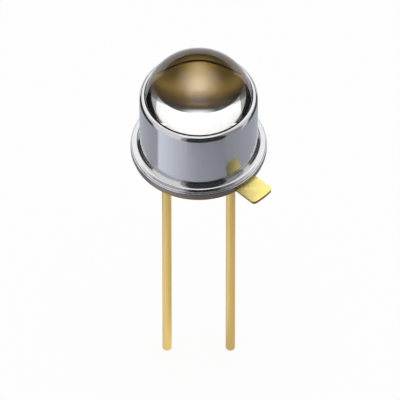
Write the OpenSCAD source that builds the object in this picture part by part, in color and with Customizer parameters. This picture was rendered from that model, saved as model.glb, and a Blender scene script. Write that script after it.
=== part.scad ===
// Infrared emitting diode in a metal can with a domed glass window.
// The origin is the centre of the seating plane, the underside of the header.
// +Z runs up the optical axis. The leads stand on the X axis and hang down,
// and the index tab points between +X and -Y.

/* [Cap] */
// Outer diameter of the cap's barrel
cap_d = 4.69; // [4.5:0.01:4.95]
// Thickness of the drawn barrel wall
cap_wall = 0.2; // [0.17:0.01:0.24]
// Height of the rim over the seating plane
rim_z = 3.3; // [3:0.05:5.2]
// Rounding of the rim's outer edge
rim_edge_r = 0.18; // [0.14:0.01:0.19]
// Fillet where the barrel turns out into the flange
foot_fillet_r = 0.2; // [0.1:0.01:0.25]
// How far the flange stands out past the barrel
flange_w = 0.355; // [0.33:0.005:0.45]
// Thickness of the flange at its raised ring
flange_t = 0.29; // [0.22:0.01:0.35]
// Width of the lower step along the flange's edge
step_w = 0.04; // [0.02:0.01:0.06]
// Drop from the raised ring to the lower step
step_drop = 0.07; // [0.03:0.01:0.1]
// Rounding of the flange's outer edges
flange_edge_r = 0.03; // [0.01:0.005:0.04]

/* [Lens] */
// Depth of the ring where the dome meets the barrel, below the rim
lens_seat_depth = 0.05; // [0.04:0.01:0.3]
// Height of the dome over that ring
dome_h = 1.77; // [1.2:0.01:1.9]
// Depth of the fused land between the dome and the flat underside
lens_land = 0.1; // [0.08:0.01:0.5]

/* [Header] */
// Thickness of the header's flange and of its index tab
header_t = 0.16; // [0.1:0.01:0.25]
// How far the header's edge stays inside the cap flange's edge
header_inset = 0.04; // [0:0.01:0.08]
// Rounding of the header's lower edge
header_edge_r = 0.04; // [0.01:0.01:0.05]
// Height of the pedestal that carries the chip, over the seating plane
pedestal_z = 1.64; // [1:0.02:1.8]
// Gap between the pedestal and the inside of the barrel
pedestal_gap = 0.02; // [0.02:0.01:0.2]
// Chamfer round the top of the pedestal
pedestal_chamfer = 0.01; // [0.01:0.01:0.1]
// Width of the index tab
tab_w = 1.04; // [0.72:0.02:1.16]
// How far the index tab reaches past the flange
tab_len = 0.94; // [0.72:0.02:1.2]
// Rounding of the tab's outer corners
tab_corner_r = 0.16; // [0.05:0.01:0.3]
// Direction of the index tab, turned from +X towards -Y
tab_angle = 45; // [0:5:90]

/* [Leads] */
// Diameter of the lead wire
lead_d = 0.38; // [0.36:0.01:0.48]
// Distance between the two leads
lead_pitch = 2.54; // [2.4:0.02:2.6]
// Length of the leads below the seating plane
lead_len = 12.2; // [3:0.1:26]
// Chamfer at the cut ends of the leads
tip_chamfer = 0.05; // [0.02:0.01:0.1]
// Diameter of the glass bead round the insulated lead
bead_d = 1; // [0.9:0.02:1.1]
// Depth that the bead's ends lie below the header's faces
bead_recess = 0.04; // [0.02:0.01:0.08]
// Height of the insulated lead's post over the pedestal
post_h = 0.35; // [0.25:0.05:0.5]
// Diameter of the nail head on the post
post_head_d = 0.56; // [0.5:0.02:0.7]
// Thickness of the nail head
post_head_t = 0.1; // [0.06:0.01:0.15]
// Depth of the dimple that the welded lead is set in
weld_dimple = 0.05; // [0.03:0.01:0.1]
// How far the weld's upset collar stands out past the wire
weld_collar_w = 0.07; // [0.04:0.01:0.12]
// Height of the weld's upset collar below the header
weld_collar_h = 0.12; // [0.06:0.01:0.2]

/* [Chip and wire] */
// Side of the square chip
chip_w = 0.36; // [0.3:0.02:0.6]
// Height of the chip
chip_h = 0.2; // [0.15:0.01:0.3]
// Inset of the etched mesa on top of the chip
mesa_inset = 0.025; // [0.01:0.005:0.04]
// Height of the etched mesa
mesa_h = 0.03; // [0.02:0.005:0.05]
// Diameter of the bond pad on the mesa
pad_d = 0.12; // [0.1:0.01:0.16]
// Thickness of the bond pad
pad_t = 0.01; // [0.005:0.005:0.02]
// Thickness of the solder under the chip
attach_t = 0.03; // [0.02:0.01:0.05]
// How far the solder spreads past the chip
attach_w = 0.07; // [0.03:0.01:0.12]
// Diameter of the bond wire
wire_d = 0.04; // [0.025:0.005:0.05]
// Straight rise of the wire over the chip
wire_rise = 0.16; // [0.1:0.02:0.3]
// Radius of the wire's loop
wire_bend_r = 0.2; // [0.12:0.02:0.3]
// Diameter of the ball on the chip and of the stitch on the post
bond_d = 0.09; // [0.08:0.01:0.12]
// Height of the ball and of the stitch
bond_t = 0.03; // [0.02:0.005:0.05]

/* [Hidden] */
$fn = 96;
eps = 0.02;

cap_r = cap_d / 2;
bore_r = cap_r - cap_wall;
rim_inner_min = 0.01;
rim_outer_r = min(rim_edge_r, cap_wall - rim_inner_min);
rim_inner_r = cap_wall - rim_outer_r;
flange_r = cap_r + flange_w;
ring_r = flange_r - step_w;
flange_top_z = header_t + flange_t;
step_z = flange_top_z - step_drop;
fillet_r = min(foot_fillet_r, ring_r - flange_edge_r - cap_r);

lens_ring_z = rim_z - lens_seat_depth;
dome_r = (bore_r * bore_r + dome_h * dome_h) / (2 * dome_h);
dome_centre_z = lens_ring_z + dome_h - dome_r;
lens_bottom_z = lens_ring_z - lens_land;

header_r = flange_r - header_inset;
pedestal_r = bore_r - pedestal_gap;
tab_tip_r = flange_r + tab_len;

lead_r = lead_d / 2;
lead_x = lead_pitch / 2;
post_top_z = pedestal_z + post_h;
collar_r = lead_r + weld_collar_w;

chip_base_z = pedestal_z + attach_t;
mesa_z = chip_base_z + chip_h - mesa_h;
pad_z = chip_base_z + chip_h;
pad_top_z = pad_z + pad_t;

// The wire leaves the ball straight up, turns over in one arc about this centre,
// and then runs straight to the stitch, touching the arc.
bend_x = -wire_bend_r;
bend_z = pad_top_z + bond_t + wire_rise;
stitch_z = post_top_z + bond_t;
stitch_dx = -lead_x - bend_x;
stitch_dz = stitch_z - bend_z;
stitch_dist = norm([stitch_dx, stitch_dz]);
bend_turn = 180 + atan2(-stitch_dz, -stitch_dx) - acos(wire_bend_r / stitch_dist);
run_len = sqrt(stitch_dist * stitch_dist - wire_bend_r * wire_bend_r);

GOLD = "#dcb95c";
NICKEL = "#b4b7bf";
GLASS = [0.86, 0.90, 0.88, 0.45];
BEAD = "#3d4a3c";
SOLDER = "#a9abb0";
CHIP = "#4a4c55";

// A ring section from r0 to r1 and z0 to z1, with its upper outer corner rounded by edge_r
module rounded_ring_section(r0, r1, z0, z1, edge_r) {
    translate([r0, z0]) square([r1 - r0, z1 - edge_r - z0]);
    translate([r0, z0]) square([r1 - edge_r - r0, z1 - z0]);
    translate([r1 - edge_r, z1 - edge_r]) circle(edge_r);
}

// Stamped and coined base: flange, pedestal, bead hole, weld dimple and index tab in one piece
module header() {
    color(GOLD)
    difference() {
        union() {
            rotate_extrude() {
                translate([0, header_edge_r]) square([header_r, header_t - header_edge_r]);
                square([header_r - header_edge_r, header_t]);
                translate([header_r - header_edge_r, header_edge_r]) circle(header_edge_r);
                polygon([
                    [0, 0],
                    [pedestal_r, 0],
                    [pedestal_r, pedestal_z - pedestal_chamfer],
                    [pedestal_r - pedestal_chamfer, pedestal_z],
                    [0, pedestal_z]
                ]);
            }
            rotate([0, 0, -tab_angle]) index_tab();
        }
        translate([-lead_x, 0, -eps]) cylinder(d = bead_d, h = pedestal_z + 2 * eps);
        translate([lead_x, 0, 0]) weld_nugget();
    }
}

// Tapered root of the welded lead, set in the header
module weld_nugget() {
    cylinder(r1 = collar_r, r2 = lead_r, h = weld_dimple);
}

// Flat tab whose end is an arc about the header's axis, with rounded corners
module index_tab() {
    corner_y = tab_w / 2 - tab_corner_r;
    corner_x = sqrt(pow(tab_tip_r - tab_corner_r, 2) - corner_y * corner_y);
    linear_extrude(header_t) {
        intersection() {
            translate([0, -tab_w / 2]) square([corner_x, tab_w]);
            circle(tab_tip_r);
        }
        intersection() {
            translate([0, -corner_y]) square([tab_tip_r, 2 * corner_y]);
            circle(tab_tip_r);
        }
        for (side = [-1, 1])
            translate([corner_x, side * corner_y]) circle(tab_corner_r);
    }
}

// Glass bead that seals and insulates the lead in the header
module glass_seal() {
    color(BEAD)
    translate([-lead_x, 0, bead_recess])
    difference() {
        cylinder(d = bead_d, h = pedestal_z - 2 * bead_recess);
        translate([0, 0, -eps]) cylinder(d = lead_d, h = pedestal_z + 2 * eps);
    }
}

// Straight wire from its chamfered cut end up to top_z
module lead_wire(top_z) {
    translate([0, 0, -lead_len])
    cylinder(r1 = lead_r - tip_chamfer, r2 = lead_r, h = tip_chamfer);
    translate([0, 0, tip_chamfer - lead_len])
    cylinder(d = lead_d, h = top_z + lead_len - tip_chamfer);
}

// Insulated lead: the wire runs through the bead and ends in a nail head for the bond wire
module anode_lead() {
    color(GOLD)
    translate([-lead_x, 0, 0]) {
        lead_wire(post_top_z);
        translate([0, 0, post_top_z - post_head_t]) cylinder(d = post_head_d, h = post_head_t);
    }
}

// Case lead: butt welded into a dimple of the header, with the weld's upset collar
module cathode_lead() {
    color(GOLD)
    translate([lead_x, 0, 0]) {
        lead_wire(0);
        translate([0, 0, -weld_collar_h]) cylinder(r1 = lead_r, r2 = collar_r, h = weld_collar_h);
        weld_nugget();
    }
}

// Pad of solder under the chip, spread a little past its sides
module die_attach() {
    side = chip_w + 2 * attach_w;
    color(SOLDER)
    translate([0, 0, pedestal_z])
    linear_extrude(attach_t) {
        square([side, chip_w], center = true);
        square([chip_w, side], center = true);
        for (sx = [-1, 1], sy = [-1, 1])
            translate([sx * chip_w / 2, sy * chip_w / 2]) circle(attach_w);
    }
}

// Emitter chip: sawn body, etched mesa and metallised bond pad
module led_chip() {
    mesa_w = chip_w - 2 * mesa_inset;
    color(CHIP) {
        translate([-chip_w / 2, -chip_w / 2, chip_base_z]) cube([chip_w, chip_w, chip_h - mesa_h]);
        translate([-mesa_w / 2, -mesa_w / 2, mesa_z]) cube([mesa_w, mesa_w, mesa_h]);
        translate([0, 0, pad_z]) cylinder(d = pad_d, h = pad_t);
    }
}

// Gold wire from its ball on the chip, over one loop, to its stitch on the post
module bond_wire() {
    wire_r = wire_d / 2;
    color(GOLD) {
        translate([0, 0, pad_top_z]) cylinder(d = bond_d, h = bond_t);
        translate([0, 0, pad_top_z]) cylinder(d = wire_d, h = bend_z - pad_top_z);
        translate([bend_x, 0, bend_z])
        rotate([90, 0, 0])
        rotate_extrude(angle = bend_turn)
        translate([wire_bend_r, 0]) circle(wire_r);
        translate([bend_x, 0, bend_z])
        rotate([0, -bend_turn, 0])
        translate([wire_bend_r, 0, 0])
        cylinder(d = wire_d, h = run_len);
        translate([-lead_x, 0, stitch_z]) sphere(d = wire_d);
        translate([-lead_x, 0, post_top_z]) cylinder(d = bond_d, h = bond_t);
    }
}

// Drawn shell: rounded rim, straight barrel, filleted foot and stepped weld flange
module cap() {
    color(NICKEL)
    rotate_extrude() {
        translate([bore_r, header_t]) square([cap_wall, rim_z - rim_outer_r - header_t]);
        translate([cap_r - rim_outer_r, rim_z - rim_outer_r])
        intersection() {
            circle(rim_outer_r);
            square(rim_outer_r);
        }
        translate([bore_r + rim_inner_r, rim_z - rim_inner_r]) circle(rim_inner_r);
        translate([bore_r, rim_z - rim_outer_r]) square([rim_inner_r, rim_outer_r - rim_inner_r]);
        difference() {
            translate([cap_r - eps, flange_top_z - eps]) square(fillet_r + eps);
            translate([cap_r + fillet_r, flange_top_z + fillet_r]) circle(fillet_r);
        }
        rounded_ring_section(bore_r, ring_r, header_t, flange_top_z, flange_edge_r);
        rounded_ring_section(bore_r, flange_r, header_t, step_z, flange_edge_r);
    }
}

// Plano-convex window fused to the barrel: spherical dome, cylindrical land, flat underside
module lens() {
    color(GLASS) {
        translate([0, 0, lens_bottom_z]) cylinder(r = bore_r, h = lens_land);
        intersection() {
            translate([0, 0, lens_ring_z]) cylinder(r = bore_r, h = dome_h + eps);
            translate([0, 0, dome_centre_z]) sphere(dome_r);
        }
    }
}

header();
glass_seal();
anode_lead();
cathode_lead();
die_attach();
led_chip();
bond_wire();
cap();
lens();
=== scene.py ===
"""Looks of an infrared emitting diode: a nickel-plated can with a domed window on a gold-plated header.

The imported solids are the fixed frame. Each piece that shows is turned or formed here again at a finer
resolution, in the same place and of the same form, and is dressed in its own finish.
Sizes are in millimetres and become metres where a mesh is made.
"""
import logging
import math
from dataclasses import dataclass
from enum import Enum
from typing import Any, Sequence, Union

import bmesh
import bpy
from mathutils import Matrix, Vector
from mathutils.geometry import tessellate_polygon


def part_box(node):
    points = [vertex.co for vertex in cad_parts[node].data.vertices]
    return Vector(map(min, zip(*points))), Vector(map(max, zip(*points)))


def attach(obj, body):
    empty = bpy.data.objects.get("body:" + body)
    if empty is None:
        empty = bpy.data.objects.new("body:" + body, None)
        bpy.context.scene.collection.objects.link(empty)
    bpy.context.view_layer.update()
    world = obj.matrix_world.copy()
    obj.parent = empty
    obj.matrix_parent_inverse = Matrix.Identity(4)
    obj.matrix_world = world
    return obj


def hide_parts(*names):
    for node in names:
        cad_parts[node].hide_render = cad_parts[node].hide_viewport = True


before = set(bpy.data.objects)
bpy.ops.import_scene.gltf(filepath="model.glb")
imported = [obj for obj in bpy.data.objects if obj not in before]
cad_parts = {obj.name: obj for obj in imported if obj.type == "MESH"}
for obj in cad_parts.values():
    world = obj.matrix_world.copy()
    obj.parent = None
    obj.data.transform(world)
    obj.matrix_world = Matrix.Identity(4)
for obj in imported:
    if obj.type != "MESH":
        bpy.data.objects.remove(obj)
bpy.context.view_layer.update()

MM = 0.001
FULL_TURN = 2 * math.pi
ROOT = "root"
SHARP_ANGLE = math.radians(40)
MERGE_MM = 0.0002
# Largest upward share of the normal of a face that counts as upright
UPRIGHT = 0.5
# Range that most noise values keep to
NOISE_LOW, NOISE_HIGH = 0.3, 0.7
# Sockets of a colour mix: its two colours, and their blend
MIX_FIRST, MIX_SECOND, MIX_COLOUR = 6, 7, 2
WHITE = "#FFFFFF"

Point = tuple[float, float]
Profile = list[Point]
Colour = tuple[float, float, float, float]
Key = Union[str, int]
Tree = bpy.types.NodeTree
Node = bpy.types.Node
Socket = bpy.types.NodeSocket
Piece = bpy.types.Object
Material = bpy.types.Material
WorkMesh = bmesh.types.BMesh
Ring = list[bmesh.types.BMVert]

LOG = logging.getLogger("infrared_led")


def srgb(code: str) -> Colour:
    """Turns a hex colour into linear values.

    Args:
        code: Six hex digits after a hash sign.

    Returns:
        Linear red, green and blue, and an alpha of one.
    """
    parts = [int(code[i:i + 2], 16) / 255 for i in (1, 3, 5)]
    linear = [c / 12.92 if c <= 0.04045 else ((c + 0.055) / 1.055) ** 2.4 for c in parts]
    return linear[0], linear[1], linear[2], 1.0


def add_node(tree: Tree, kind: str, values: dict[Key, Any] | None = None,
             links: dict[Key, Socket] | None = None, **settings: Any) -> Node:
    """Adds one node with its settings, its fixed inputs and its links.

    Args:
        tree: Tree that takes the node.
        kind: Blender's name for the kind of node.
        values: Fixed values, by input name or number.
        links: Output sockets of other nodes, by the input name or number that they feed.
        **settings: Properties of the node itself.

    Returns:
        The new node.
    """
    node = tree.nodes.new(kind)
    for name, value in settings.items():
        setattr(node, name, value)
    for key, value in (values or {}).items():
        node.inputs[key].default_value = value
    for key, socket in (links or {}).items():
        tree.links.new(socket, node.inputs[key])
    return node


def calc(tree: Tree, operation: str, *inputs: Union[Socket, float]) -> Socket:
    """Adds a math node.

    Args:
        tree: Tree that takes the node.
        operation: Blender's name for the operation.
        *inputs: Sockets or fixed numbers, in order.

    Returns:
        Its result.
    """
    values = {i: value for i, value in enumerate(inputs) if isinstance(value, float)}
    links = {i: value for i, value in enumerate(inputs) if i not in values}
    return add_node(tree, "ShaderNodeMath", values, links, operation=operation).outputs[0]


def arc(centre: Point, radius: float, start: float, end: float, steps: int) -> Profile:
    """Points along an arc between two angles in degrees, both ends included."""
    angles = [math.radians(start + (end - start) * i / steps) for i in range(steps + 1)]
    return [(centre[0] + radius * math.cos(a), centre[1] + radius * math.sin(a)) for a in angles]


def corners_mm(node: str) -> tuple[Vector, Vector]:
    """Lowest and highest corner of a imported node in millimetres."""
    low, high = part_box(node)
    return Vector(low) / MM, Vector(high) / MM


def put(name: str, data: bpy.types.ID) -> Piece:
    """Adds an object to the scene.

    Args:
        name: Name of the object.
        data: Its mesh, lamp or camera.

    Returns:
        The object.
    """
    thing = bpy.data.objects.new(name, data)
    bpy.context.scene.collection.objects.link(thing)
    return thing


def bare_material(name: str, mesh: bpy.types.Mesh) -> tuple[Tree, Socket]:
    """Gives a mesh a material without a shader.

    Args:
        name: Name of the material.
        mesh: Mesh that takes it.

    Returns:
        The material's tree, and the input that a shader is to feed.
    """
    material = bpy.data.materials.new(name)
    material.use_nodes = True
    mesh.materials.append(material)
    tree = material.node_tree
    tree.nodes.remove(tree.nodes["Principled BSDF"])
    return tree, tree.nodes["Material Output"].inputs["Surface"]


def settle(piece: Piece) -> None:
    """Turns a piece's modifiers into its plain mesh and removes them."""
    bpy.context.view_layer.update()
    graph = bpy.context.evaluated_depsgraph_get()
    mesh = bpy.data.meshes.new_from_object(piece.evaluated_get(graph), depsgraph=graph)
    mesh.name = piece.name
    piece.modifiers.clear()
    piece.data = mesh


def smooth(piece: Piece) -> Piece:
    """Points the faces outwards and shades the piece smooth between its sharp edges.

    Args:
        piece: A closed mesh piece.

    Returns:
        The same piece.
    """
    work = bmesh.new()
    work.from_mesh(piece.data)
    bmesh.ops.remove_doubles(work, verts=work.verts, dist=MERGE_MM * MM)
    bmesh.ops.recalc_face_normals(work, faces=work.faces)
    if work.calc_volume(signed=True) < 0:
        bmesh.ops.reverse_faces(work, faces=work.faces)
    work.to_mesh(piece.data)
    work.free()
    piece.data.shade_smooth()
    piece.data.set_sharp_from_angle(angle=SHARP_ANGLE)
    weighted = piece.modifiers.new("flat_faces_stay_flat", "WEIGHTED_NORMAL")
    weighted.keep_sharp = True
    settle(piece)
    return piece


def join(name: str, pieces: Sequence[Piece]) -> Piece:
    """Puts several made pieces of one finish into a single mesh.

    Args:
        name: Name of the joined piece.
        pieces: The pieces, which are removed.

    Returns:
        The joined piece.
    """
    work = bmesh.new()
    for piece in pieces:
        work.from_mesh(piece.data)
    finish = pieces[0].data.materials[0]
    mesh = bpy.data.meshes.new(name)
    work.to_mesh(mesh)
    work.free()
    mesh.materials.append(finish)
    for piece in pieces:
        bpy.data.objects.remove(piece)
    return put(name, mesh)


def adopt(piece: Piece, node: str) -> None:
    """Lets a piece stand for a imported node.

    Args:
        piece: The finished piece.
        node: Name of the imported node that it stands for.
    """
    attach(piece, ROOT)
    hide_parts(node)
    LOG.info("%s stands for %s: %d faces", piece.name, node, len(piece.data.polygons))


class PieceTree:
    """Geometry tree with named inputs that makes one kind of piece from a row of points."""

    NAME = "piece"
    INPUTS: dict[str, str] = {}

    def __init__(self) -> None:
        """Makes the tree with its named inputs and fills it."""
        self.tree = bpy.data.node_groups.new(self.NAME, "GeometryNodeTree")
        face = self.tree.interface
        face.new_socket("Geometry", in_out="INPUT", socket_type="NodeSocketGeometry")
        self.identifiers = {
            name: face.new_socket(name, in_out="INPUT", socket_type=kind).identifier
            for name, kind in self.INPUTS.items()
        }
        face.new_socket("Geometry", in_out="OUTPUT", socket_type="NodeSocketGeometry")
        self.given = add_node(self.tree, "NodeGroupInput").outputs
        made = self.fill()
        plain = add_node(self.tree, "GeometryNodeRealizeInstances", links={"Geometry": made})
        dressed = add_node(self.tree, "GeometryNodeSetMaterial", links={
            "Geometry": plain.outputs[0], "Material": self.given["Finish"]})
        add_node(self.tree, "NodeGroupOutput", links={0: dressed.outputs[0]})

    def fill(self) -> Socket:
        """Adds the nodes that shape the piece and returns their geometry output."""
        raise NotImplementedError

    def make(self, name: str, points: Sequence[Vector], values: dict[str, Any]) -> Piece:
        """Runs the tree on a row of points and keeps the result as a plain mesh.

        Args:
            name: Name of the piece.
            points: The row of points in metres, joined by edges in turn.
            values: Value of each named input.

        Returns:
            The piece, with no modifier left on it.
        """
        row = bpy.data.meshes.new(name + "_row")
        row.from_pydata(points, [(i, i + 1) for i in range(len(points) - 1)], [])
        piece = put(name, row)
        modifier = piece.modifiers.new(self.NAME, "NODES")
        modifier.node_group = self.tree
        for key, value in values.items():
            modifier[self.identifiers[key]] = value
        settle(piece)
        bpy.data.meshes.remove(row)
        piece.data.materials.clear()
        piece.data.materials.append(values["Finish"])
        for face in piece.data.polygons:
            face.material_index = 0
        return piece


class TurnedTree(PieceTree):
    """Turns a row of profile points, as on a lathe, about an upright axis."""

    NAME = "turned_piece"
    INPUTS = {"Segments": "NodeSocketInt", "Axis X": "NodeSocketFloat",
              "Merge Distance": "NodeSocketFloat", "Finish": "NodeSocketMaterial"}

    def fill(self) -> Socket:
        """Bends a grid round the axis: its rows are profile points and its columns are turns.

        Returns:
            The turned mesh, with its seam and poles closed.
        """
        tree, given = self.tree, self.given
        count = add_node(tree, "GeometryNodeAttributeDomainSize", links={"Geometry": given["Geometry"]})
        columns = add_node(tree, "FunctionNodeIntegerMath", {1: 1}, {0: given["Segments"]}, operation="ADD")
        grid = add_node(tree, "GeometryNodeMeshGrid", links={
            "Vertices X": count.outputs["Point Count"], "Vertices Y": columns.outputs[0]})
        index = add_node(tree, "GeometryNodeInputIndex").outputs[0]
        row = add_node(tree, "FunctionNodeIntegerMath", operation="DIVIDE_FLOOR", links={
            0: index, 1: columns.outputs[0]})
        column = add_node(tree, "FunctionNodeIntegerMath", operation="MODULO", links={
            0: index, 1: columns.outputs[0]})
        turn = calc(tree, "MULTIPLY", calc(tree, "DIVIDE", column.outputs[0], given["Segments"]), FULL_TURN)
        place = add_node(tree, "GeometryNodeInputPosition").outputs[0]
        sample = add_node(tree, "GeometryNodeSampleIndex", data_type="FLOAT_VECTOR", domain="POINT", links={
            "Geometry": given["Geometry"], "Value": place, "Index": row.outputs[0]})
        point = add_node(tree, "ShaderNodeSeparateXYZ", links={0: sample.outputs[0]}).outputs
        out_x = calc(tree, "MULTIPLY_ADD", point["X"], calc(tree, "COSINE", turn), given["Axis X"])
        out_y = calc(tree, "MULTIPLY", point["X"], calc(tree, "SINE", turn))
        moved = add_node(tree, "ShaderNodeCombineXYZ", links={"X": out_x, "Y": out_y, "Z": point["Z"]})
        turned = add_node(tree, "GeometryNodeSetPosition", links={
            "Geometry": grid.outputs["Mesh"], "Position": moved.outputs[0]})
        closed = add_node(tree, "GeometryNodeMergeByDistance", links={
            "Geometry": turned.outputs[0], "Distance": given["Merge Distance"]})
        return closed.outputs[0]

    def turn(self, name: str, profile: Profile, finish: Material,
             axis_x: float = 0.0, segments: int = 256) -> Piece:
        """Turns a profile into a smooth piece.

        Args:
            name: Name of the piece.
            profile: Points of radius and height in millimetres.
            finish: Material of the piece.
            axis_x: Place of the turning axis along X in millimetres.
            segments: Number of stretches round the axis.

        Returns:
            The piece.
        """
        points = [Vector((r * MM, 0, z * MM)) for r, z in profile]
        piece = self.make(name, points, {"Segments": segments, "Axis X": axis_x * MM,
                                         "Merge Distance": MERGE_MM * MM, "Finish": finish})
        return smooth(piece)


class WireTree(PieceTree):
    """Draws a round wire along a path."""

    NAME = "wire_along_path"
    INPUTS = {"Wire Radius": "NodeSocketFloat", "Sides": "NodeSocketInt", "Finish": "NodeSocketMaterial"}

    def fill(self) -> Socket:
        """Sweeps a circle along the path.

        Returns:
            The wire's mesh with closed ends.
        """
        path = add_node(self.tree, "GeometryNodeMeshToCurve", links={"Mesh": self.given["Geometry"]})
        section = add_node(self.tree, "GeometryNodeCurvePrimitiveCircle", links={
            "Resolution": self.given["Sides"], "Radius": self.given["Wire Radius"]})
        swept = add_node(self.tree, "GeometryNodeCurveToMesh", {"Fill Caps": True}, {
            "Curve": path.outputs[0], "Profile Curve": section.outputs[0]})
        return swept.outputs[0]

    def draw(self, name: str, path: Profile, radius: float, finish: Material, sides: int = 24) -> Piece:
        """Draws a wire along a path in the XZ plane.

        Args:
            name: Name of the piece.
            path: Points of X and Z in millimetres.
            radius: Radius of the wire in millimetres.
            finish: Material of the wire.
            sides: Number of stretches round the wire.

        Returns:
            The piece.
        """
        points = [Vector((x * MM, 0, z * MM)) for x, z in path]
        piece = self.make(name, points, {"Wire Radius": radius * MM, "Sides": sides, "Finish": finish})
        return smooth(piece)


@dataclass(frozen=True)
class Finish:
    """A surface finish: its name and the constant values of its shader."""

    name: str
    colour: str
    metallic: float = 0.0
    roughness: float = 0.5

    def make(self) -> Material:
        """Makes the material.

        Returns:
            The material, with its pattern added.
        """
        material = bpy.data.materials.new(self.name)
        material.use_nodes = True
        shader = material.node_tree.nodes["Principled BSDF"]
        shader.inputs["Base Color"].default_value = srgb(self.colour)
        shader.inputs["Metallic"].default_value = self.metallic
        shader.inputs["Roughness"].default_value = self.roughness
        self.pattern(material.node_tree, shader)
        return material

    def pattern(self, tree: Tree, shader: Node) -> None:
        """Adds the nodes that vary the surface to a material's tree and its shader node."""
        raise NotImplementedError

    def grain(self, tree: Tree, size: Sequence[float], detail: float = 3.0) -> Socket:
        """Adds a noise pattern on Object coordinates.

        Args:
            tree: Tree of the material.
            size: Width of a grain along X, Y and Z in millimetres.
            detail: Levels of finer noise.

        Returns:
            The pattern, about one half on average.
        """
        place = add_node(tree, "ShaderNodeTexCoord").outputs["Object"]
        scaled = add_node(tree, "ShaderNodeMapping", {"Scale": [1 / (s * MM) for s in size]}, {
            "Vector": place})
        noise = add_node(tree, "ShaderNodeTexNoise", {"Scale": 1.0, "Detail": detail}, {
            "Vector": scaled.outputs[0]})
        return noise.outputs["Fac"]

    def blend(self, tree: Tree, other: str, share: Socket) -> Socket:
        """Adds a blend of the finish's colour with another.

        Args:
            tree: Tree of the material.
            other: The other colour, as hex.
            share: Share of the other colour.

        Returns:
            The blended colour.
        """
        colours = {MIX_FIRST: srgb(self.colour), MIX_SECOND: srgb(other)}
        mix = add_node(tree, "ShaderNodeMix", colours, {0: share}, data_type="RGBA")
        return mix.outputs[MIX_COLOUR]


@dataclass(frozen=True)
class PlatedMetal(Finish):
    """Electroplate on formed metal: it follows the drawing lines and pores of the metal below it."""

    metallic: float = 1.0
    second_colour: str = WHITE
    rough_to: float = 0.3
    line_size: tuple[float, float, float] = (0.05, 0.05, 1.2)
    line_depth: float = 0.0002
    line_strength: float = 0.3

    def pattern(self, tree: Tree, shader: Node) -> None:
        """Varies tone and gloss in patches and adds the fine lines of the forming tools.

        Args:
            tree: Tree of the material.
            shader: Its shader node.
        """
        lines = self.grain(tree, self.line_size)
        tone = self.blend(tree, self.second_colour, lines)
        gloss = add_node(tree, "ShaderNodeMapRange", {
            "From Min": NOISE_LOW, "From Max": NOISE_HIGH,
            "To Min": self.roughness, "To Max": self.rough_to}, {"Value": lines})
        relief = add_node(tree, "ShaderNodeBump", {
            "Strength": self.line_strength, "Distance": self.line_depth * MM}, {"Height": lines})
        tree.links.new(tone, shader.inputs["Base Color"])
        tree.links.new(gloss.outputs[0], shader.inputs["Roughness"])
        tree.links.new(relief.outputs[0], shader.inputs["Normal"])


@dataclass(frozen=True)
class FiredGlass(Finish):
    """Glass that was melted in place: a fire-polished skin, a little uneven."""

    ior: float = 1.52
    transmission: float = 1.0
    wave_size: float = 0.8
    wave_depth: float = 0.0005
    second_colour: str = WHITE

    def pattern(self, tree: Tree, shader: Node) -> None:
        """Adds the slow waves of the melted skin.

        Args:
            tree: Tree of the material.
            shader: Its shader node.
        """
        shader.inputs["IOR"].default_value = self.ior
        shader.inputs["Transmission Weight"].default_value = self.transmission
        waves = self.grain(tree, [self.wave_size] * 3, detail=1.0)
        tone = self.blend(tree, self.second_colour, waves)
        relief = add_node(tree, "ShaderNodeBump", {"Strength": 1.0, "Distance": self.wave_depth * MM}, {
            "Height": waves})
        tree.links.new(tone, shader.inputs["Base Color"])
        tree.links.new(relief.outputs[0], shader.inputs["Normal"])


@dataclass(frozen=True)
class SawnChip(Finish):
    """Sawn and etched semiconductor with a gold bond pad on top."""

    pad_colour: str = "#E6C25A"
    pad_radius: float = 0.06
    pad_margin: float = 0.0012
    pad_t: float = 0.01
    grain_size: float = 0.03
    gloss_spread: float = 0.1

    def pattern(self, tree: Tree, shader: Node) -> None:
        """Paints the pad as a disc on the mesa and roughens the sawn sides.

        Args:
            tree: Tree of the material.
            shader: Its shader node.
        """
        place = add_node(tree, "ShaderNodeTexCoord").outputs["Object"]
        parts = add_node(tree, "ShaderNodeSeparateXYZ", links={0: place}).outputs
        flat = add_node(tree, "ShaderNodeCombineXYZ", links={"X": parts["X"], "Y": parts["Y"]})
        reach = add_node(tree, "ShaderNodeVectorMath", operation="LENGTH", links={0: flat.outputs[0]})
        edge = (self.pad_radius + self.pad_margin) * MM
        inside = calc(tree, "LESS_THAN", reach.outputs["Value"], edge)
        pad_z = corners_mm("led_chip")[1].z - self.pad_t / 2
        above = calc(tree, "GREATER_THAN", parts["Z"], pad_z * MM)
        tone = self.blend(tree, self.pad_colour, calc(tree, "MULTIPLY", inside, above))
        saw = self.grain(tree, [self.grain_size] * 3)
        gloss = add_node(tree, "ShaderNodeMapRange", {
            "From Min": NOISE_LOW, "From Max": NOISE_HIGH,
            "To Min": self.roughness - self.gloss_spread, "To Max": self.roughness + self.gloss_spread}, {
            "Value": saw})
        tree.links.new(tone, shader.inputs["Base Color"])
        tree.links.new(gloss.outputs[0], shader.inputs["Roughness"])


# Bright nickel plate on a deep-drawn can: smooth and mirror-like, with faint upright drawing lines.
BRIGHT_NICKEL = PlatedMetal("bright_nickel_plate", "#BFBFC1", roughness=0.10, rough_to=0.17,
                            second_colour="#C9C9CB", line_strength=0.15)
# The can's bore after the glass was fused in at red heat: a thin oxide skin makes it pale straw and satin.
FIRED_BORE = PlatedMetal("fired_nickel_bore", "#F0E4D0", roughness=0.18, rough_to=0.23,
                         second_colour="#E8DAC2", line_size=(0.1, 0.1, 0.3), line_strength=0.1)
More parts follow.
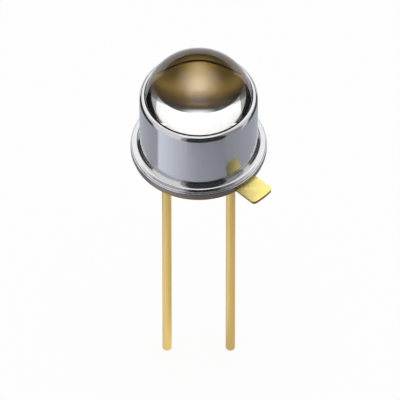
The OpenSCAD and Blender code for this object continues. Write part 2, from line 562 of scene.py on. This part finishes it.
# Trimmed edge of the can's flange: a sheared, rougher band, whose darker colour is painted shade along the
# flange's upright edge.
FLANGE_EDGE_SHADE_NICKEL = PlatedMetal("flange_edge_nickel_painted_shade", "#7C7672", roughness=0.22, rough_to=0.32,
                             second_colour="#8A8480", line_size=(0.05, 0.05, 0.05), line_strength=0.15)
# Satin gold plate on the stamped header: pale lemon, with the soft grain of the stamped sheet.
HEADER_GOLD = PlatedMetal("stamped_gold_plate", "#F2E492", roughness=0.38, rough_to=0.44,
                          second_colour="#ECD983", line_size=(0.12, 0.12, 0.12), line_strength=0.15)
# Sheared edge of the header and its tab: a rougher band, painted bronze brown as the shade along the plate's
# upright edge.
PLATE_EDGE_SHADE_GOLD = PlatedMetal("plate_edge_gold_painted_shade", "#8E7040", roughness=0.3, rough_to=0.4,
                           second_colour="#9C7C48", line_size=(0.05, 0.05, 0.2), line_strength=0.2)
# Coined pedestal: gold plate on metal that the die pressed smooth, rich yellow with a satin gloss.
COINED_GOLD = PlatedMetal("coined_gold_plate", "#EFCF78", roughness=0.28, rough_to=0.33,
                          second_colour="#E6C46A", line_size=(0.2, 0.2, 0.2), line_strength=0.1)
# Satin gold plate on drawn wire: a deeper tone, with long fine lines from the drawing die.
LEAD_GOLD = PlatedMetal("drawn_gold_wire", "#E0C47C", roughness=0.25, rough_to=0.4,
                        second_colour="#D2B164", line_size=(0.03, 0.03, 2.5), line_depth=0.0006)
# Pure gold bond wire, drawn fine and bright.
BOND_GOLD = PlatedMetal("pure_gold_wire", "#E8C15A", roughness=0.15, rough_to=0.22,
                        second_colour="#DDB24C", line_size=(0.01, 0.01, 0.05))
# Dull tin solder under the chip, grey and finely crystalline.
SOFT_SOLDER = PlatedMetal("soft_solder", "#A9ABB0", roughness=0.35, rough_to=0.5,
                          second_colour="#95979C", line_size=(0.02, 0.02, 0.02))
# Clear sealing glass of the window: its fire-polished skin is almost true, with slow waves.
WINDOW_GLASS = FiredGlass("fire_polished_glass", "#FBFCFA", roughness=0.0, ior=1.46)
# Edge of the window next to the can's rim: painted near black as the shade in the gap between glass and rim,
# and smooth.
LENS_EDGE_SHADE = PlatedMetal("lens_edge_painted_shade", "#1C1409", metallic=0.0, roughness=0.4, rough_to=0.5,
                         second_colour="#2A1F10", line_size=(0.1, 0.1, 0.1))
# Dark sealing glass of the bead: glossy and nearly opaque, grey green.
BEAD_GLASS = FiredGlass("dark_sealing_glass", "#39433A", roughness=0.08, ior=1.5, transmission=0.0,
                        wave_size=0.12, wave_depth=0.004, second_colour="#4A5648")
# Sawn semiconductor chip: polished and etched, it shines like a bronze-toned metal, with a fine saw grain.
SAWN_CHIP = SawnChip("sawn_semiconductor", "#A88F60", metallic=1.0, roughness=0.3)


@dataclass
class Can:
    """The drawn cap: rounded rim, straight barrel, filleted foot and stepped weld flange."""

    lathe: TurnedTree
    rim_edge_r: float = 0.18
    foot_fillet_r: float = 0.2
    flange_t: float = 0.29
    step_w: float = 0.04
    step_drop: float = 0.07
    flange_edge_r: float = 0.03
    flange_w: float = 0.355
    arc_steps: int = 12

    BORE = 1
    SHADED_FLANGE_EDGE = 2

    def profile(self) -> Profile:
        """Lists the section of the shell, from the foot of its bore up and round to the flange.

        Returns:
            The closed section.
        """
        low, high = corners_mm("cap")
        bore_r = corners_mm("lens")[1].x
        flange_r = high.x
        barrel_r = flange_r - self.flange_w
        ring_r = flange_r - self.step_w
        rim_inner_r = barrel_r - bore_r - self.rim_edge_r
        top_z = low.z + self.flange_t
        step_z = top_z - self.step_drop
        edge = self.flange_edge_r
        rows = [(bore_r, low.z)]
        rows += arc((bore_r + rim_inner_r, high.z - rim_inner_r), rim_inner_r, 180, 90, self.arc_steps)
        rows += arc((barrel_r - self.rim_edge_r, high.z - self.rim_edge_r), self.rim_edge_r, 90, 0,
                    self.arc_steps)
        rows += arc((barrel_r + self.foot_fillet_r, top_z + self.foot_fillet_r), self.foot_fillet_r, 180, 270,
                    self.arc_steps)
        rows += arc((ring_r - edge, top_z - edge), edge, 90, 0, self.arc_steps)
        rows += [(ring_r, step_z)]
        rows += arc((flange_r - edge, step_z - edge), edge, 90, 0, self.arc_steps)
        rows += [(flange_r, low.z), (bore_r, low.z)]
        return rows

    def build(self) -> None:
        """Turns the shell and dresses its outside, its fired bore, and its trimmed edge in darker nickel as
        painted shade.
        """
        shell = self.lathe.turn("cap_shell", self.profile(), BRIGHT_NICKEL.make())
        shell.data.materials.append(FIRED_BORE.make())
        shell.data.materials.append(FLANGE_EDGE_SHADE_NICKEL.make())
        bore_r = corners_mm("lens")[1].x
        shaded_edge_r = corners_mm("cap")[1].x - self.flange_edge_r
        # Upright faces inside the bore take the fired finish; upright faces at the flange's outer edge take
        # the darker nickel, which is painted shade.
        for face in shell.data.polygons:
            reach = Vector(face.center).to_2d().length / MM
            if abs(face.normal.z) < UPRIGHT and reach < bore_r + MERGE_MM:
                face.material_index = self.BORE
            elif abs(face.normal.z) < UPRIGHT and reach > shaded_edge_r:
                face.material_index = self.SHADED_FLANGE_EDGE
        adopt(shell, "cap")


@dataclass
class Window:
    """The domed glass window, fused into the can's open top."""

    lathe: TurnedTree
    land: float = 0.1
    edge_shade_h: float = 0.1
    edge_gap: float = 0.002
    dome_steps: int = 96

    def build(self) -> None:
        """Turns the window and dresses its clear faces, and its edge in near black as painted shade."""
        low, high = corners_mm("lens")
        ring_r = high.x - self.edge_gap
        ring_z = low.z + self.land
        dome_h = high.z - ring_z
        dome_r = (ring_r ** 2 + dome_h ** 2) / (2 * dome_h)
        start = math.degrees(math.acos(ring_r / dome_r))
        rows = [(0, low.z), (ring_r, low.z)]
        rows += arc((0, high.z - dome_r), dome_r, start, 90, self.dome_steps)
        dome = self.lathe.turn("lens_dome", rows, WINDOW_GLASS.make())
        dome.data.materials.append(LENS_EDGE_SHADE.make())
        # The upright land and the foot of the dome take the near-black finish: painted shade where the glass
        # meets the rim.
        for face in dome.data.polygons:
            in_edge_shade = face.center.z / MM < ring_z + self.edge_shade_h and face.normal.z > -UPRIGHT
            face.material_index = int(in_edge_shade)
        adopt(dome, "lens")


@dataclass
class Header:
    """The stamped base: flange with its index tab, pedestal, bead hole and weld dimple."""

    plate_t: float = 0.16
    coined_from: float = 0.32
    lower_edge_r: float = 0.04
    upper_edge_r: float = 0.015
    pedestal_gap: float = 0.02
    pedestal_chamfer: float = 0.01
    tab_w: float = 1.04
    tab_len: float = 0.94
    tab_corner_r: float = 0.16
    tab_angle: float = -45.0
    bead_r: float = 0.5
    dimple_r: float = 0.26
    dimple_root_r: float = 0.19
    dimple_depth: float = 0.05
    rim_steps: int = 240
    side_steps: int = 8
    hole_steps: int = 64
    edge_steps: int = 5

    COINED = 1
    SHADED_PLATE_EDGE = 2

    def outline(self, shrink: float) -> list[Point]:
        """Lists the plate's outline, pulled in by a given amount.

        Args:
            shrink: How far the outline is pulled in.

        Returns:
            The points, counter-clockwise, as many for every amount.
        """
        disc_r = -corners_mm("header")[0].x - shrink
        tip_r = corners_mm("cap")[1].x + self.tab_len - shrink
        half_w = self.tab_w / 2 - shrink
        corner_r = self.tab_corner_r - shrink
        corner_y = half_w - corner_r
        corner_x = math.sqrt((tip_r - corner_r) ** 2 - corner_y ** 2)
        corner_turn = math.degrees(math.atan2(corner_y, corner_x))
        root = math.degrees(math.asin(half_w / disc_r))
        root_x = disc_r * math.cos(math.radians(root))
        rows = arc((0, 0), disc_r, root, 360 - root, self.rim_steps)
        side = [root_x + (corner_x - root_x) * i / self.side_steps for i in range(1, self.side_steps)]
        rows += [(x, -half_w) for x in side]
        rows += arc((corner_x, -corner_y), corner_r, -90, -corner_turn, self.side_steps)
        rows += arc((0, 0), tip_r, -corner_turn, corner_turn, self.side_steps)[1:-1]
        rows += arc((corner_x, corner_y), corner_r, corner_turn, 90, self.side_steps)
        rows += [(x, half_w) for x in reversed(side)]
        turn = Matrix.Rotation(math.radians(self.tab_angle), 2)
        return [tuple(turn @ Vector(p)) for p in rows]

    def ring(self, work: WorkMesh, points: Sequence[Point], z: float) -> Ring:
        """Adds a level ring of vertices to the mesh."""
        return [work.verts.new((x * MM, y * MM, z * MM)) for x, y in points]

    def wall(self, work: WorkMesh, rings: Sequence[Ring]) -> None:
        """Joins each ring to the next with a band of faces.

        Args:
            work: Mesh in the making.
            rings: Rings of as many vertices each.
        """
        for one, two in zip(rings, rings[1:]):
            for i in range(len(one)):
                j = (i + 1) % len(one)
                work.faces.new((one[i], one[j], two[j], two[i]))

    def floor(self, work: WorkMesh, loops: Sequence[Ring]) -> None:
        """Fills a level face between an outer ring and the rings of its holes.

        Args:
            work: Mesh in the making.
            loops: The outer ring, then those of the holes.
        """
        verts = [vert for loop in loops for vert in loop]
        for corners in tessellate_polygon([[vert.co / MM for vert in loop] for loop in loops]):
            work.faces.new([verts[i] for i in corners])

    def rims(self, work: WorkMesh, low_z: float) -> list[Ring]:
        """Adds the plate's outer rings, round its lower edge and then its upper one.

        Args:
            work: Mesh in the making.
            low_z: Height of the plate's underside.

        Returns:
            The rings, from the underside up.
        """
        top_z = low_z + self.plate_t
        quarter = [math.radians(90 * i / self.edge_steps) for i in range(self.edge_steps + 1)]
        lower = [(self.lower_edge_r * (1 - math.sin(a)), low_z + self.lower_edge_r * (1 - math.cos(a)))
                 for a in quarter]
        upper = [(self.upper_edge_r * (1 - math.cos(a)), top_z - self.upper_edge_r * (1 - math.sin(a)))
                 for a in quarter]
        rings = [self.ring(work, self.outline(shrink), z) for shrink, z in lower + upper]
        self.wall(work, rings)
        return rings

    def round_wall(self, work: WorkMesh, axis_x: float, levels: Sequence[Point], steps: int) -> list[Ring]:
        """Adds a round wall about an upright axis.

        Args:
            work: Mesh in the making.
            axis_x: Place of the axis along X.
            levels: Radius and height of each ring.
            steps: Number of stretches round the axis.

        Returns:
            The rings, in the order of the levels.
        """
        rings = [self.ring(work, arc((axis_x, 0), r, 0, 360, steps)[:-1], z) for r, z in levels]
        self.wall(work, rings)
        return rings

    def build(self) -> None:
        """Forms the header and dresses it."""
        low, high = corners_mm("header")
        pedestal_r = corners_mm("lens")[1].x - self.pedestal_gap
        anode_low, anode_high = corners_mm("anode_lead")
        bead_x = (anode_low.x + anode_high.x) / 2
        chamfer = self.pedestal_chamfer
        work = bmesh.new()
        rims = self.rims(work, low.z)
        stand = self.round_wall(work, 0, [
            (pedestal_r, low.z + self.plate_t),
            (pedestal_r, high.z - chamfer),
            (pedestal_r - chamfer, high.z),
        ], self.rim_steps)
        bore = self.round_wall(work, bead_x, [(self.bead_r, low.z), (self.bead_r, high.z)], self.hole_steps)
        dimple = self.round_wall(work, -bead_x, [
            (self.dimple_r, low.z), (self.dimple_root_r, low.z + self.dimple_depth)], self.hole_steps)
        self.floor(work, [rims[0], bore[0], dimple[0]])
        self.floor(work, [rims[-1], stand[0]])
        self.floor(work, [stand[-1], bore[-1]])
        self.floor(work, [dimple[-1]])
        mesh = bpy.data.meshes.new("header_plate")
        work.to_mesh(mesh)
        work.free()
        mesh.materials.append(HEADER_GOLD.make())
        mesh.materials.append(COINED_GOLD.make())
        mesh.materials.append(PLATE_EDGE_SHADE_GOLD.make())
        plate = smooth(put("header_plate", mesh))
        # Faces high on the pedestal take the coined gold; upright faces of the plate's edge take the bronze
        # gold, which is painted shade.
        for face in plate.data.polygons:
            if face.center.z / MM > low.z + self.coined_from:
                face.material_index = self.COINED
            elif abs(face.normal.z) < UPRIGHT:
                face.material_index = self.SHADED_PLATE_EDGE
        adopt(plate, "header")


@dataclass
class Leads:
    """The two wires, one sealed in its glass bead and one welded to the header."""

    lathe: TurnedTree
    wire_r: float = 0.19
    tip_r: float = 0.05
    head_t: float = 0.1
    head_edge_r: float = 0.02
    collar_h: float = 0.12
    collar_r: float = 0.26
    nugget_h: float = 0.05
    bead_r: float = 0.5
    meniscus: float = 0.03
    steps: int = 8
    segments: int = 96

    def tip(self, low_z: float) -> Profile:
        """Lists the rounded cut end of a wire, from its axis out to its side."""
        centre = (self.wire_r - self.tip_r, low_z + self.tip_r)
        return [(0, low_z)] + arc(centre, self.tip_r, -90, 0, self.steps)

    def build(self) -> None:
        """Turns both wires and the bead."""
        gold = LEAD_GOLD.make()
        self.build_anode(gold)
        self.build_cathode(gold)
        self.build_bead()

    def build_anode(self, gold: Material) -> None:
        """Turns the insulated wire with its nail head.

        Args:
            gold: Finish of the wire.
        """
        low, high = corners_mm("anode_lead")
        head_r = (high.x - low.x) / 2
        edge = self.head_edge_r
        under_z = high.z - self.head_t
        rows = self.tip(low.z) + [(self.wire_r, under_z)]
        rows += arc((head_r - edge, under_z + edge), edge, -90, 0, self.steps)
        rows += arc((head_r - edge, high.z - edge), edge, 0, 90, self.steps) + [(0, high.z)]
        wire = self.lathe.turn("anode_wire", rows, gold, (low.x + high.x) / 2, self.segments)
        adopt(wire, "anode_lead")

    def build_cathode(self, gold: Material) -> None:
        """Turns the welded wire with its upset collar.

        Args:
            gold: Finish of the wire.
        """
        low, high = corners_mm("cathode_lead")
        flare = [(self.wire_r + (self.collar_r - self.wire_r) * (i / self.steps) ** 2,
                  self.collar_h * (i / self.steps - 1)) for i in range(self.steps + 1)]
        rows = self.tip(low.z) + flare + [(self.wire_r, self.nugget_h), (0, self.nugget_h)]
        wire = self.lathe.turn("cathode_wire", rows, gold, (low.x + high.x) / 2, self.segments)
        adopt(wire, "cathode_lead")

    def build_bead(self) -> None:
        """Turns the bead, whose ends sag between the wire and the header."""
        low, high = corners_mm("glass_seal")
        width = self.bead_r - self.wire_r
        sag = [(self.wire_r + width * i / self.steps, self.meniscus * math.sin(math.pi * i / self.steps))
               for i in range(self.steps + 1)]
        rows = [(r, low.z + dip) for r, dip in sag] + [(r, high.z - dip) for r, dip in reversed(sag)]
        rows.append(rows[0])
        bead = self.lathe.turn("glass_bead", rows, BEAD_GLASS.make(), (low.x + high.x) / 2, self.segments)
        adopt(bead, "glass_seal")


@dataclass
class Emitter:
    """What the can seals in: the chip on its solder and the bond wire over to the post."""

    lathe: TurnedTree
    drawer: WireTree
    wire_r: float = 0.02
    wire_rise: float = 0.16
    bend_r: float = 0.2
    bond_r: float = 0.045
    bond_t: float = 0.03
    bend_steps: int = 24
    ball_steps: int = 10
    ball_segments: int = 40

    def path(self) -> Profile:
        """Lists the wire's path: up from the ball, over one bend and straight to the stitch.

        Returns:
            Points of X and Z.
        """
        ball_z = corners_mm("led_chip")[1].z
        post_low, post_high = corners_mm("anode_lead")
        post_x = (post_low.x + post_high.x) / 2
        bend_x = -self.bend_r
        bend_z = ball_z + self.bond_t + self.wire_rise
        run = Vector((post_x - bend_x, post_high.z + self.bond_t - bend_z))
        turn = 180 + math.degrees(math.atan2(-run.y, -run.x) - math.acos(self.bend_r / run.length))
        bend = arc((bend_x, bend_z), self.bend_r, 0, turn, self.bend_steps)
        return [(0, ball_z)] + bend + [(post_x, post_high.z + self.bond_t)]

    def ball(self, name: str, base_z: float, axis_x: float, gold: Material) -> Piece:
        """Turns a flattened ball of wire.

        Args:
            name: Name of the piece.
            base_z: Height of the face that it is bonded to.
            axis_x: Place of its axis along X.
            gold: Finish of the wire.

        Returns:
            The piece.
        """
        half = self.bond_t / 2
        rows = [(0, base_z)] + arc((self.bond_r - half, base_z + half), half, -90, 90, self.ball_steps)
        rows.append((0, base_z + self.bond_t))
        return self.lathe.turn(name, rows, gold, axis_x, self.ball_segments)

    def build(self) -> None:
        """Makes the bond wire and dresses the chip and its solder."""
        gold = BOND_GOLD.make()
        path = self.path()
        chip_top = corners_mm("led_chip")[1].z
        loop = join("bond_loop", [
            self.drawer.draw("bond_run", path, self.wire_r, gold),
            self.ball("chip_ball", chip_top, 0, gold),
            self.ball("post_stitch", path[-1][1] - self.bond_t, path[-1][0], gold),
        ])
        adopt(smooth(loop), "bond_wire")
        for node, finish in (("led_chip", SAWN_CHIP), ("die_attach", SOFT_SOLDER)):
            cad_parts[node].material_slots[0].material = finish.make()
            LOG.info("%s keeps its solid, dressed as %s", node, finish.name)


class Seen(Enum):
    """Which rays meet a studio card."""

    MIRRORS = "mirrors"
    GLASS = "glass"
    MIRRORS_AND_GLASS = "mirrors and glass"
    POLISH = "sharp mirrors alone, as the window's skin"


def direction(turn: float, lift: float) -> Vector:
    """Unit vector at an azimuth from the camera's side and an elevation, both in radians."""
    return Vector((math.sin(turn) * math.cos(lift), -math.cos(turn) * math.cos(lift), math.sin(lift)))


@dataclass(frozen=True)
class Card:
    """A curved studio card of one tone round the object, placed by the directions that it fills.

    Azimuth is in degrees from the camera's side towards the right, and elevation from the horizon.
    """

    name: str
    azimuth: Point
    elevation: Point
    tone: float
    reach: float = 60.0
    seen: Seen = Seen.MIRRORS_AND_GLASS
    columns: int = 24
    rows: int = 12

    def build(self, centre: Vector) -> None:
        """Makes the card and hides it from the camera.

        Args:
            centre: Point that it curves round, in millimetres.
        """
        points, faces = [], []
        for i in range(self.columns + 1):
            turn = self.azimuth[0] + (self.azimuth[1] - self.azimuth[0]) * i / self.columns
            for j in range(self.rows + 1):
                lift = self.elevation[0] + (self.elevation[1] - self.elevation[0]) * j / self.rows
                out = direction(math.radians(turn), math.radians(lift))
                points.append((centre + out * self.reach) * MM)
        for i in range(self.columns):
            for j in range(self.rows):
                corner = i * (self.rows + 1) + j
                faces.append((corner, corner + self.rows + 1, corner + self.rows + 2, corner + 1))
        show_card(self.name, points, faces, [self.tone] * len(points), self.seen)


@dataclass(frozen=True)
class Spot:
    """A round soft light, brightest in its middle, that adds to what is behind it.

    Its spread is the angle in degrees from its middle to its edge, across and up.
    """

    name: str
    azimuth: float
    elevation: float
    spread: Point
    tone: float
    reach: float
    seen: Seen
    rings: int = 16
    columns: int = 48

    def build(self, centre: Vector) -> None:
        """Makes the light as rings of points about its middle.

        Args:
            centre: Point that it faces, in millimetres.
        """
        turn, lift = math.radians(self.azimuth), math.radians(self.elevation)
        out, right = direction(turn, lift), direction(turn + math.pi / 2, 0)
        up = right.cross(out)
        points, tones, faces = [], [], []
        for i in range(self.rings + 1):
            share = i / self.rings
            for j in range(self.columns):
                angle = FULL_TURN * j / self.columns
                aside = math.tan(math.radians(self.spread[0] * share * math.cos(angle)))
                above = math.tan(math.radians(self.spread[1] * share * math.sin(angle)))
                points.append((centre + (out + right * aside + up * above).normalized() * self.reach) * MM)
                tones.append(self.tone * (1 - share) ** 2 * (1 + 2 * share))
        for i in range(self.rings):
            for j in range(self.columns):
                one, two = i * self.columns + j, i * self.columns + (j + 1) % self.columns
                faces.append((one, two, two + self.columns, one + self.columns))
        show_card(self.name, points, faces, tones, self.seen, soft=True)


@dataclass(frozen=True)
class FloorRing:
    """A flat ring of card on the floor, which only mirrors show.

    Its tones are given at some azimuths, and run evenly from each to the next. Its step is in degrees.
    """

    name: str
    radius: Point
    tones: tuple[Point, ...]
    tint: str = WHITE
    step: float = 4.0

    def build(self, floor_z: float) -> None:
        """Makes the ring and hides it from the camera.

        Args:
            floor_z: Height at which it lies, in millimetres.
        """
        points, tones, faces = [], [], []
        for (start, tone), (end, next_tone) in zip(self.tones, self.tones[1:]):
            steps = math.ceil((end - start) / self.step)
            for i in range(steps):
                turn = math.radians(start + (end - start) * i / steps)
                points += [(direction(turn, 0) * r + Vector((0, 0, floor_z))) * MM for r in self.radius]
                tones += [tone + (next_tone - tone) * i / steps] * 2
        for i in range(0, len(points), 2):
            faces.append((i, i + 1, (i + 3) % len(points), (i + 2) % len(points)))
        show_card(self.name, points, faces, tones, Seen.MIRRORS, tint=self.tint)


def show_card(name: str, points: Sequence[Vector], faces: Sequence[tuple[int, ...]],
              tones: Sequence[float], seen: Seen, soft: bool = False, tint: str = WHITE) -> None:
    """Adds a glowing card to the studio.

    Args:
        name: Name of the card.
        points: Its points in metres.
        faces: Its faces.
        tones: How bright it shows at each point, where one is white.
        seen: What it shows itself to.
        soft: Whether what is behind it shows through.
        tint: Colour of its light.
    """
    mesh = bpy.data.meshes.new(name)
    mesh.from_pydata(points, [], faces)
    mesh.attributes.new("tone", "FLOAT", "POINT").data.foreach_set("value", tones)
    tree, surface = bare_material(name, mesh)
    tone = add_node(tree, "ShaderNodeAttribute", attribute_name="tone")
    glow = add_node(tree, "ShaderNodeEmission", {"Color": srgb(tint)}, {"Strength": tone.outputs["Fac"]})
    clear = add_node(tree, "ShaderNodeBsdfTransparent")
    if soft:
        glow = add_node(tree, "ShaderNodeAddShader", links={0: glow.outputs[0], 1: clear.outputs[0]})
    if seen is Seen.POLISH:
        sharp = add_node(tree, "ShaderNodeLightPath").outputs["Is Singular Ray"]
        glow = add_node(tree, "ShaderNodeMixShader", links={
            0: sharp, 1: clear.outputs[0], 2: glow.outputs[0]})
    tree.links.new(glow.outputs[0], surface)
    card = put(name, mesh)
    card.visible_camera = False
    card.visible_diffuse = False
    card.visible_shadow = False
    card.visible_glossy = seen is not Seen.GLASS
    card.visible_transmission = seen in (Seen.GLASS, Seen.MIRRORS_AND_GLASS)


@dataclass
class Studio:
    """White floor, white surroundings, lamp, cards and camera."""

    floor_size: float = 800.0
    floor_drop: float = 0.02
    floor_colour: str = "#F4F4F4"
    floor_glow: float = 0.93
    ambient: float = 0.75
    lamp_size: float = 60.0
    lamp_height: float = 70.0
    lamp_tone: float = 1.0
    elevation: float = 49.5
    focal_mm: float = 1600.0
    sensor_mm: float = 36.0
    clip_share: float = 10.0
    image_px: int = 400
    px_per_mm: float = 25.33
    rim_px: Point = (198.65, 95.0)
    lights: tuple[Union[Card, Spot], ...] = (
        # Above and behind, for the metal
        Card("back_softbox", (110, 250), (28, 78), 1.5, seen=Seen.MIRRORS),
        Card("top_softbox", (-180, 180), (74, 90), 1.6, reach=50.0, seen=Seen.MIRRORS),
        # In the window's own skin
        Card("skin_flag", (0, 360), (8, 90), 0.1, reach=45.0, seen=Seen.POLISH),
        Spot("skin_back_spot", 180, 52, (20, 20), 1.6, 42.0, Seen.POLISH),
        Spot("skin_top_spot", 0, 76, (36, 36), 3.2, 40.0, Seen.POLISH),
        # Through the window
        Card("back_low_softbox", (132, 228), (0, 38.5), 1.1, reach=50.0, seen=Seen.GLASS),
        Card("back_side_softbox", (95, 265), (15, 38.5), 0.5, reach=52.0, seen=Seen.GLASS),
        Card("back_top_flag", (95, 265), (38.5, 90), 0.1, reach=40.0, seen=Seen.GLASS),
        Spot("back_top_spot", 180, 62, (19, 14), 4.0, 35.0, Seen.GLASS),
        Spot("back_mid_spot", 180, 50, (10, 7), 0.8, 37.0, Seen.GLASS),
        Spot("back_low_spot", 180, 38.5, (16, 5), 1.1, 36.0, Seen.GLASS),
        Card("front_top_flag", (-95, 95), (30, 90), 0.06, reach=20.0, seen=Seen.GLASS),
        Spot("front_top_spot", 0, 66, (7, 20), 1.5, 18.0, Seen.GLASS),
        # At the front and the sides
        Card("front_flag", (-20, 44), (-37, 72), 0.05, reach=22.0),
        Card("front_flag_ends", (-28, 76), (-34, 72), 0.4, reach=23.0),
        Card("front_left_card", (-80, -25), (-10, 60), 1.1),
        Card("left_top_flag", (-152, -100), (8, 20), 0.1, reach=45.0, seen=Seen.MIRRORS),
        Card("right_top_flag", (100, 152), (8, 20), 0.1, reach=45.0, seen=Seen.MIRRORS),
        Card("left_flag", (-128, -78), (-38, 16), 0.05, reach=21.0),
        Card("right_flag", (88, 130), (-38, 14), 0.1, reach=21.0),
    )
    floor_ring: FloorRing = FloorRing("floor_ring", (9, 19), (
        (-180, 0.67), (-120, 0.63), (-79, 0.54), (-77, 1.19), (-30, 0.80), (0, 0.56), (45, 0.43), (90, 0.55),
        (180, 0.67)), tint="#EEF3FF")
    lead_ring: FloorRing = FloorRing("lead_ring", (0.5, 8.9), (
        (-180, 0.85), (-120, 0.98), (-60, 1.16), (0, 0.92), (60, 0.80), (120, 0.74), (180, 0.85)))

    def build(self) -> None:
        """Sets up the floor, the surroundings, the lamp, the cards and the camera."""
        floor_z = corners_mm("anode_lead")[0].z - self.floor_drop
        centre = Vector((0, 0, corners_mm("cap")[1].z / 2))
        self.build_world()
        self.build_floor(floor_z)
        self.build_lamp()
        for light in self.lights:
            light.build(centre)
        for ring in (self.floor_ring, self.lead_ring):
            ring.build(floor_z + self.floor_drop / 2)
        self.build_camera()

    def seen_directly(self, tree: Tree) -> Socket:
        """Adds a mask that is one for camera, mirror and glass rays.

        Args:
            tree: Tree of the world or of a material.

        Returns:
            The mask.
        """
        path = add_node(tree, "ShaderNodeLightPath").outputs
        mirror = calc(tree, "MAXIMUM", path["Is Camera Ray"], path["Is Glossy Ray"])
        return calc(tree, "MAXIMUM", mirror, path["Is Transmission Ray"])

    def build_world(self) -> None:
        """Makes the surroundings white to the eye and softer as a light."""
        world = bpy.data.worlds.new("white_studio")
        bpy.context.scene.world = world
        world.use_nodes = True
        tree = world.node_tree
        strength = add_node(tree, "ShaderNodeMapRange", {"To Min": self.ambient, "To Max": 1.0}, {
            "Value": self.seen_directly(tree)})
        back = tree.nodes["Background"]
        back.inputs["Color"].default_value = srgb(WHITE)
        tree.links.new(strength.outputs[0], back.inputs["Strength"])

    def build_floor(self, floor_z: float) -> None:
        """Makes the pale floor, which takes the object's faint shadow and isn't seen from below.

        Args:
            floor_z: Height of the floor in millimetres.
        """
        half = self.floor_size / 2
        corners = [Vector((x, y, floor_z)) * MM
                   for x, y in ((-half, -half), (half, -half), (half, half), (-half, half))]
        mesh = bpy.data.meshes.new("floor")
        mesh.from_pydata(corners, [], [(0, 1, 2, 3)])
        tree, surface = bare_material("pale_floor", mesh)
        paint = add_node(tree, "ShaderNodeBsdfDiffuse", {"Color": srgb(self.floor_colour)})
        glow = add_node(tree, "ShaderNodeEmission", {"Strength": 1.0})
        share = calc(tree, "MULTIPLY", self.seen_directly(tree), self.floor_glow)
        lit = add_node(tree, "ShaderNodeMixShader", links={0: share, 1: paint.outputs[0], 2: glow.outputs[0]})
        clear = add_node(tree, "ShaderNodeBsdfTransparent")
        below = add_node(tree, "ShaderNodeNewGeometry").outputs["Backfacing"]
        one_sided = add_node(tree, "ShaderNodeMixShader", links={
            0: below, 1: lit.outputs[0], 2: clear.outputs[0]})
        tree.links.new(one_sided.outputs[0], surface)
        floor = put("floor", mesh)

    def build_lamp(self) -> None:
        """Hangs one large soft lamp overhead."""
        size = self.lamp_size * MM
        lamp = bpy.data.lights.new("overhead_softbox", "AREA")
        lamp.shape = "SQUARE"
        lamp.size = size
        lamp.energy = self.lamp_tone * math.pi * size ** 2
        holder = put("overhead_softbox", lamp)
        holder.location = (0, 0, self.lamp_height * MM)
        holder.visible_camera = False
        holder.visible_glossy = False
        holder.visible_transmission = False

    def build_camera(self) -> None:
        """Places a long lens at the photograph's viewing angle and framing."""
        lift = math.radians(self.elevation)
        back = Vector((0, -math.cos(lift), math.sin(lift)))
        up = Vector((0, math.sin(lift), math.cos(lift)))
        rim = Vector((0, 0, corners_mm("cap")[1].z))
        off_x = (self.image_px / 2 - self.rim_px[0]) / self.px_per_mm
        off_up = (self.rim_px[1] - self.image_px / 2) / self.px_per_mm
        aim = rim + Vector((off_x, 0, 0)) + up * off_up
        distance = self.image_px / self.px_per_mm * self.focal_mm / self.sensor_mm
        data = bpy.data.cameras.new("photo_camera")
        data.lens = self.focal_mm
        data.sensor_width = self.sensor_mm
        data.clip_end = self.clip_share * distance * MM
        camera = put("photo_camera", data)
        camera.location = (aim + back * distance) * MM
        camera.rotation_euler = (math.radians(90 - self.elevation), 0, 0)
        bpy.context.scene.camera = camera


def main() -> None:
    """Builds each piece in order, then the studio."""
    logging.basicConfig(level=logging.INFO)
    bpy.context.scene.view_settings.view_transform = "Standard"
    lathe = TurnedTree()
    drawer = WireTree()
    for assembly in (Can(lathe), Window(lathe), Header(), Leads(lathe), Emitter(lathe, drawer), Studio()):
        assembly.build()


if __name__ == "__main__":
    main()
